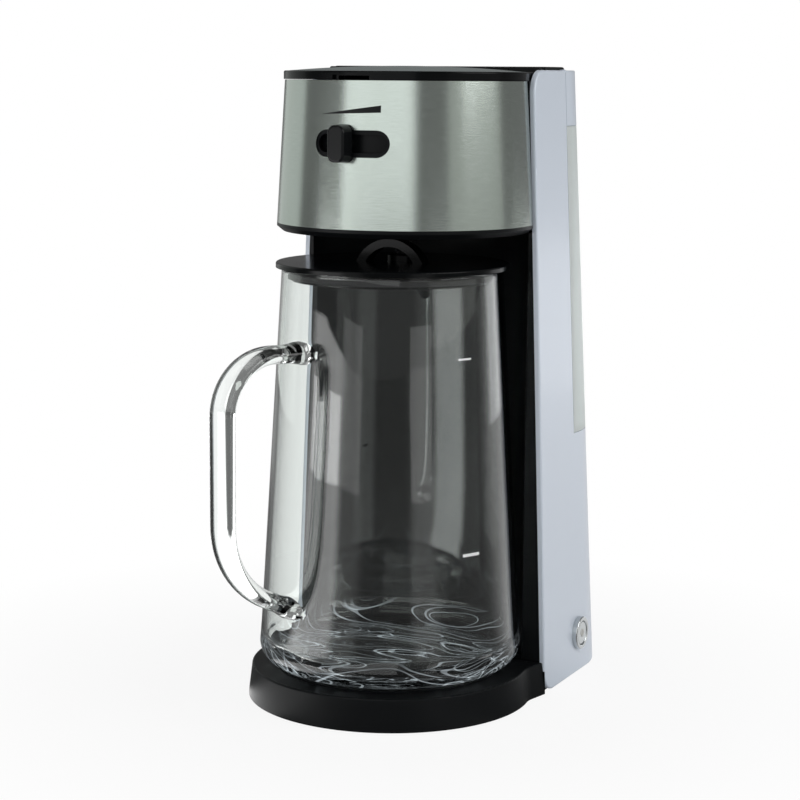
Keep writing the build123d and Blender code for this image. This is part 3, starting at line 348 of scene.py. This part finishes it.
def silverPaint(name):
    paint = Paint(name, Specular_IOR_Level=0.5, Coat_Roughness=0.10)
    flake = paint.noise(paint.place(), 2600.0, 2.0, 0.7)
    wide = paint.noise(paint.place(), 5.0, 2.0)
    colour = paint.blend(flake, (0.64, 0.72, 0.82), (0.76, 0.82, 0.91))
    paint.set(Base_Color=paint.blend(wide * 0.35, colour, (0.80, 0.82, 0.92)), Metallic=0.06,
              Roughness=(flake - 0.5) * 0.10 + 0.40, Coat_Weight=0.30)
    paint.bump(flake, 0.06, 0.0001)
    return paint.material


def brushedSteel(name):
    # brush lines run round the band: fine in height, long round the axis; over them go painted reflection bands,
    # long in height
    paint = Paint(name, Metallic=1.0)
    x, y, z = paint.axes(paint.place(), "X", "Y", "Z")
    around = x.calc("ARCTAN2", y)
    narrow = paint.put("ShaderNodeCombineXYZ", {}, {"X": around * 0.9, "Y": z * 260.0, "Z": 0.0})
    # painted reflection: broad bands, long in height and narrow round the axis, pull the steel darker and greener
    # like smeared reflections of the room
    paintedSmear = paint.put("ShaderNodeCombineXYZ", {}, {"X": around * 2.0, "Y": z * 6.0, "Z": 2.0})
    lines = paint.noise(narrow, 9.0, 6.0, 0.75)
    base = paint.blend(lines, (0.40, 0.45, 0.42), (0.64, 0.69, 0.66))
    paint.set(Base_Color=paint.blend(paint.noise(paintedSmear, 3.0, 2.0) * 0.5, base, (0.44, 0.50, 0.43)),
              Roughness=(lines - 0.5) * 0.12 + 0.17)
    paint.bump(lines, 0.14, 0.0002)
    return paint.material


def plainMetal(name, colour, rough, grain=240.0):
    paint = Paint(name, Metallic=1.0)
    mottle = paint.noise(paint.place(), grain, 4.0)
    paint.set(Base_Color=paint.blend(mottle, scaled(colour, 0.85), colour),
              Roughness=(mottle - 0.5) * 0.16 + rough)
    paint.bump(mottle, 0.05, 0.0001)
    return paint.material


def clearGlass(name):
    # faint waves in the walls; in the cast foot deep ripples, along whose crests painted glints glow
    paint = Paint(name, Transmission_Weight=1.0, IOR=1.47, Specular_IOR_Level=0.5, Roughness=0.0)
    wide = paint.noise(paint.place((1, 1, 0.35)), 16.0, 2.0)
    paint.set(Base_Color=paint.blend(wide, (0.935, 0.968, 0.950), (0.965, 0.985, 0.975)))
    [height] = paint.axes(paint.spot(), "Z")
    foot = paint.span(height, 0.026, 0.036, 1.0, 0.0)
    ripple = paint.noise(paint.place((0.40, 1, 1)), 44.0, 0.0)
    # painted highlight: thin lines along the ripple crests in the foot glow as emission
    paintedGlintLines = (ripple > 0.555) * (ripple < 0.57) + (ripple > 0.42) * (ripple < 0.428)
    paintedGlint = paint.blend(paintedGlintLines * foot, (0.0, 0.0, 0.0), (0.26, 0.29, 0.31))
    paint.set(Emission_Color=paintedGlint, Emission_Strength=1.0)
    paint.bump(wide * 0.15 + foot * ripple, 0.75, 0.0045)
    return paint.material


def frostedTank(name):
    paint = Paint(name, Transmission_Weight=0.35, IOR=1.45)
    wide = paint.noise(paint.place(), 9.0)
    paint.set(Base_Color=paint.blend(wide, (0.86, 0.93, 0.92), (0.93, 0.98, 0.97)),
              Roughness=(wide - 0.5) * 0.1 + 0.42)
    paint.bump(paint.noise(paint.place(), 900.0, 2.0), 0.08, 0.0002)
    return paint.material


def softRubber(name):
    colour = (0.02, 0.02, 0.021)
    paint = Paint(name)
    grain = paint.noise(paint.place(), 1300.0)
    paint.set(Base_Color=paint.blend(grain, colour, scaled(colour, 1.6)),
              Roughness=(grain - 0.5) * 0.15 + 0.7)
    paint.bump(grain, 0.2, 0.0002)
    return paint.material


def siliconeHose(name):
    paint = Paint(name, Transmission_Weight=0.3, IOR=1.42)
    wide = paint.noise(paint.place(), 60.0, 2.0)
    paint.set(Base_Color=paint.blend(wide, (0.72, 0.72, 0.68), (0.80, 0.80, 0.77)),
              Roughness=(wide - 0.5) * 0.1 + 0.45)
    return paint.material


def wovenMesh(name):
    paint = Paint(name, Metallic=1.0)
    cells = paint.put("ShaderNodeTexVoronoi", {}, {"Vector": paint.place((1600, 1600, 1600)), "Scale": 1.0})
    paint.set(Base_Color=paint.blend(cells, (0.62, 0.61, 0.57), (0.16, 0.16, 0.15)), Roughness=0.38)
    paint.bump(cells, 0.5, 0.0003)
    return paint.material


finishes = {
    "black_body": satinBlack("blackBody"),
    "black_lid": glossBlack("blackLid", 0.20, (0.0020, 0.0024, 0.0028), 0.10, 0.04),
    "smoked_dome": glossBlack("smokedDome", 0.22, (0.16, 0.205, 0.20), 0.4),
    "silver_paint": silverPaint("silverPaint"),
    "steel": brushedSteel("brushedSteel"),
    "trim_chrome": plainMetal("trimChrome", (0.72, 0.75, 0.76), 0.20),
    "lens": siliconeHose("lensPlastic"),
    "knob": glossBlack("knobBlack", 0.26),
    "clear_tank": frostedTank("frostedTank"),
    "glass": clearGlass("jugGlass"),
    "inner_plastic": satinBlack("innerPlastic", 700.0, 0.5, (0.006, 0.006, 0.0065)),
    "mesh": wovenMesh("filterWeave"),
    "screw_steel": plainMetal("zincSteel", (0.60, 0.60, 0.58), 0.30, 900.0),
    "silicone": siliconeHose("clearSilicone"),
    "rubber": softRubber("softRubber"),
    "cast_heater": plainMetal("castAluminium", (0.66, 0.67, 0.68), 0.48, 700.0),
    "copper_tube": plainMetal("drawnCopper", (0.72, 0.42, 0.26), 0.25, 300.0),
}


def dressFrame():
    slots = {item["node"]: item["material_slot"] for item in frame["record"]["subparts"]}
    for name, node in nodes.items():
        node.data.materials.clear()
        node.data.materials.append(finishes[slots[name]])
    print("frame dressed:", len(nodes), "nodes")


# ---- glass jug: a blown shell with a heavy foot, and a solid handle melted onto it
jug = {
    # mm and degrees: the shell
    "y": -16.1, "foot": 19.2, "footR": 70.7, "shoulder": 38.0, "mouthR": 59.4, "mouth": 234.6, "wall": 2.7,
    "heel": 11.0, "innerHeel": 12.5, "innerHeelTop": 17, "bottom": 5.4, "lean": 3.3, "segments": 144,
    "heelSteps": 12, "rimSteps": 8,
    # heights above the bench
    "heights": (41, 45, 49, 53, 57, 61, 65, 69, 74, 82, 95, 115, 135, 155, 168, 178, 183, 187, 191, 195, 199, 203,
                208, 216, 226, 232.5),
    "innerHeights": (232, 225, 195, 160, 125, 90, 60, 44.2),
    # (radius, height above the foot)
    "under": ((0.8, 2.0), (30, 1.8), (47, 1.2), (50, 0.5), (53.5, 0)),
    "waves": ((46, 0.3), (40, 0.8), (34, 0.5), (27, 1.1), (19, 0.8), (10, 1.3), (0.8, 1.4)),
    # the handle: half its section, how deep it is sunk, and its path
    "handleAngle": 25.25, "half": (9.3, 4.8), "sides": 40, "sunk": 2.0, "reach": 110.3, "armTop": 192.9,
    "armLow": 77.0, "endLow": 58.0, "bendTop": 30.0, "bendLow": 46.0, "turnTop": 90, "turnLow": 65,
    "bendSteps": 14, "dropSteps": 4, "rise": (0.06, 0.2),
    # it widens where it meets the shell
    "flare": 0.42, "flareLength": 13.0, "flareSteps": 5, "flarePower": 2.2,
}


def jugRadius(z):
    return jug["footR"] + (jug["mouthR"] - jug["footR"]) * (z - jug["shoulder"]) / (jug["mouth"] - jug["shoulder"])


def arcRings(cx, cz, radius, first, last, steps):
    # ring sizes along an arc in the section; angles in degrees from straight down
    turns = [radians(first + (last - first) * i / steps) for i in range(steps + 1)]
    return [(cx + radius * sin(t), cz - radius * cos(t)) for t in turns]


def makeJugShell():
    foot, wall, heel, innerHeel = jug["foot"], jug["wall"], jug["heel"], jug["innerHeel"]
    lean = 90 + jug["lean"]
    outer = [(r, foot + up) for r, up in jug["under"]]
    outer += arcRings(jugRadius(foot + heel) - heel + 0.2, foot + heel, heel, 2, lean, jug["heelSteps"])
    outer += [(jugRadius(z), z) for z in jug["heights"]]
    rim = arcRings(jug["mouthR"] - wall / 2, jug["mouth"] - wall / 2, wall / 2, 100, 260, jug["rimSteps"])
    inner = [(jugRadius(z) - wall, z) for z in jug["innerHeights"]]
    bottom = foot + jug["bottom"]
    inner += arcRings(jugRadius(foot + jug["innerHeelTop"]) - wall - innerHeel, bottom + innerHeel, innerHeel,
                      lean, 4, jug["heelSteps"])
    inner += [(r, bottom + up) for r, up in jug["waves"]]
    return lathe("jugShell", outer + rim + inner, (0, jug["y"]), jug["segments"])


def ringStep(move, centre, grow=1.0, turn=0.0):
    # draws the selected ring on by move (mm, in the plane x = 0), then turns it and widens it about its own middle
    bpy.ops.mesh.extrude_edges_move(TRANSFORM_OT_translate={"value": (0, move[0] * mm, move[1] * mm)})
    centre = (centre[0] + move[0], centre[1] + move[1])
    spot = (0, centre[0] * mm, centre[1] * mm)
    if turn:
        bpy.ops.transform.rotate(value=radians(turn), orient_axis="X", center_override=spot)
    if grow != 1.0:
        bpy.ops.transform.resize(value=(grow, grow, grow), center_override=spot)
    return centre


def bend(centre, radius, total, start):
    # draws the ring on round an arc: start and total are headings in degrees from the outward run, turning down;
    # each step runs along a chord
    steps = jug["bendSteps"]
    for i in range(steps):
        heading = radians(start + total * (i + 0.5) / steps)
        chord = 2 * radius * sin(radians(total / steps / 2))
        centre = ringStep((-chord * cos(heading), -chord * sin(heading)), centre, turn=-1 * total / steps)
    return centre


def makeJugHandle():
    # drawn in the plane x = 0, reaching towards -Y from the jug's middle, then turned to its angle
    wide, tall = jug["half"]
    topR, lowR = jugRadius(jug["armTop"]) - jug["sunk"], jugRadius(jug["endLow"]) - jug["sunk"]
    steps = jug["flareSteps"]
    flares = [1 + jug["flare"] * (1 - i / steps) ** jug["flarePower"] for i in range(steps + 1)]
    spot = (0, -topR * mm, jug["armTop"] * mm)
    deselect()
    bpy.ops.mesh.primitive_circle_add(vertices=jug["sides"], radius=mm, fill_type="NGON", rotation=(pi / 2, 0, 0),
                                      location=spot)
    made = piece("jugHandle")
    bpy.ops.object.transform_apply(location=True, rotation=True)
    bpy.ops.object.mode_set(mode="EDIT")
    bpy.ops.mesh.select_mode(type="EDGE")
    bpy.ops.mesh.select_all(action="SELECT")
    bpy.ops.transform.resize(value=(wide * flares[0], 1, tall * flares[0]), center_override=spot)
    # the upper arm, out from the shell
    centre = (-topR, jug["armTop"])
    flareRise, armRise = jug["rise"]
    for first, second in zip(flares, flares[1:]):
        centre = ringStep((-jug["flareLength"] / steps, flareRise), centre, second / first)
    centre = ringStep((-(jug["reach"] - jug["bendTop"]) - centre[0], armRise), centre)
    # upper bend, grip, lower bend
    centre = bend(centre, jug["bendTop"], jug["turnTop"], 0)
    half = radians(jug["turnLow"] / 2)
    drop = centre[1] - (jug["armLow"] + jug["bendLow"] * sin(half) / cos(half))
    for i in range(jug["dropSteps"]):
        centre = ringStep((0, -drop / jug["dropSteps"]), centre)
    centre = bend(centre, jug["bendLow"], jug["turnLow"], jug["turnTop"])
    # the lower arm, back to the shell
    heading = radians(jug["turnTop"] + jug["turnLow"])
    left = (-lowR - centre[0]) / -cos(heading)
    run = left - jug["flareLength"]
    if run > 0:
        centre = ringStep((-run * cos(heading), -run * sin(heading)), centre)
    part = min(left, jug["flareLength"]) / steps
    back = flares[::-1]
    for first, second in zip(back, back[1:]):
        centre = ringStep((-part * cos(heading), -part * sin(heading)), centre, second / first)
    # its last ring is pressed flat inside the shell and closed
    bpy.ops.transform.resize(value=(1, 0, 1), center_override=(0, -lowR * mm, centre[1] * mm))
    bpy.ops.mesh.edge_face_add()
    bpy.ops.mesh.select_all(action="SELECT")
    bpy.ops.mesh.normals_make_consistent(inside=False)
    bpy.ops.object.mode_set(mode="OBJECT")
    made.rotation_euler = (0, 0, -radians(jug["handleAngle"]))
    made.location = (0, jug["y"] * mm, 0)
    bpy.ops.object.transform_apply(location=True, rotation=True)
    return made


def makeJug():
    shell, handle = makeJugShell(), makeJugHandle()
    deselect()
    shell.select_set(True)
    apply(shell, "BOOLEAN", operation="UNION", solver="EXACT", object=handle)
    bpy.data.objects.remove(handle)
    shell.name = shell.data.name = "glassJug"
    finish(shell, finishes["glass"], "jug", 50)
    apply(shell, "WEIGHTED_NORMAL", keep_sharp=True, weight=80)
    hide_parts("jug_glass")
    print("jug:", len(shell.data.polygons), "faces")


# ---- printed marks: thin raised strips that follow the round they are on; mm and degrees
marks = {
    # name: (middle y, radius at the mark, first and last angle from the front, low z, high z, body, slot)
    "fillMarkHigh": (jug["y"], jugRadius(191.7), 59.5, 67.2, 191.2, 192.2, "jug", "lens"),
    "fillMarkLow": (jug["y"], jugRadius(89.5), 59.7, 69.0, 88.7, 90.3, "jug", "lens"),
}
# a strip's steps, its thickness, its lift off the round, its width before it is drawn out, how far out its far
# face is looked for, and the distance in metres below which its points are welded
strip = {"steps": 8, "thick": 0.10, "lift": 0.06, "start": 0.02, "farFace": 0.005, "weld": 0.000001}
wedge = {"from": -15.5, "to": 14.2, "tip": 316.4, "low": 317.5, "high": 321.1, "footR": 66.39, "topR": 66.11,
         "lift": 0.10, "thick": 0.16, "point": 0.05, "steps": 18}


def arcStrip(name, middleY, radius, first, last, low, high):
    # a small block at the first angle, whose side face is spun round the upright axis to the last
    deselect()
    bpy.ops.mesh.primitive_cube_add(size=1, location=(0, -radius * mm, (low + high) / 2 * mm))
    made = piece(name)
    made.scale = (strip["start"] * mm, strip["thick"] * mm, (high - low) * mm)
    bpy.ops.object.transform_apply(location=True, scale=True)
    pick(made, lambda c: c.x > strip["farFace"] * mm)
    bpy.ops.mesh.spin(steps=strip["steps"], angle=radians(first - last), center=(0, 0, 0), axis=(0, 0, 1))
    bpy.ops.mesh.select_all(action="SELECT")
    bpy.ops.mesh.remove_doubles(threshold=strip["weld"])
    bpy.ops.mesh.normals_make_consistent(inside=False)
    bpy.ops.object.mode_set(mode="OBJECT")
    made.rotation_euler = (0, 0, radians(first))
    made.location = (0, middleY * mm, 0)
    bpy.ops.object.transform_apply(location=True, rotation=True)
    return made


def makeWedge():
    # drawn out from its point, section by section, along the leaning band
    low, high, steps = wedge["low"], wedge["high"], wedge["steps"]
    stations = []
    for i in range(steps + 1):
        turn = radians(wedge["from"] + (wedge["to"] - wedge["from"]) * i / steps)
        z = wedge["tip"] + ((low + high) / 2 - wedge["tip"]) * i / steps
        lean = (z - wedge["tip"]) / (high - wedge["tip"])
        r = wedge["footR"] + (wedge["topR"] - wedge["footR"]) * lean + wedge["lift"]
        tall = wedge["point"] + (high - low - wedge["point"]) * i / steps
        stations.append((Vector((r * sin(turn), -r * cos(turn), z)) * mm, tall))
    deselect()
    spot, tall = stations[0]
    bpy.ops.mesh.primitive_cube_add(size=1, location=spot)
    made = piece("strengthWedge")
    made.scale = (strip["start"] * mm, wedge["thick"] * mm, tall * mm)
    bpy.ops.object.transform_apply(location=True, scale=True)
    pick(made, lambda c: c.x > spot.x + strip["farFace"] * mm)
    for (here, tall), (there, taller) in zip(stations, stations[1:]):
        bpy.ops.mesh.extrude_region_move(TRANSFORM_OT_translate={"value": there - here})
        bpy.ops.transform.resize(value=(1, 1, taller / tall), center_override=there)
    bpy.ops.object.mode_set(mode="OBJECT")
    return made


def makeMarks():
    white = Paint("whitePrint", Specular_IOR_Level=0.3)
    speckle = white.noise(white.place(), 900.0, 2.0)
    white.set(Base_Color=white.blend(speckle, (0.86, 0.87, 0.87), (0.95, 0.95, 0.95)),
              Roughness=speckle * 0.2 + 0.4)
    white.bump(speckle, 0.1, 0.0001)
    for name, (y, radius, first, last, low, high, body, slot) in marks.items():
        made = arcStrip(name, y, radius + strip["lift"], first, last, low, high)
        finish(made, white.material, body)
    finish(makeWedge(), glossBlack("blackPrint", 0.35), "machine")
    print("marks: 3 strips")


deselect()
makeCamera()
makeStudio()
dressFrame()
makeJug()
makeMarks()
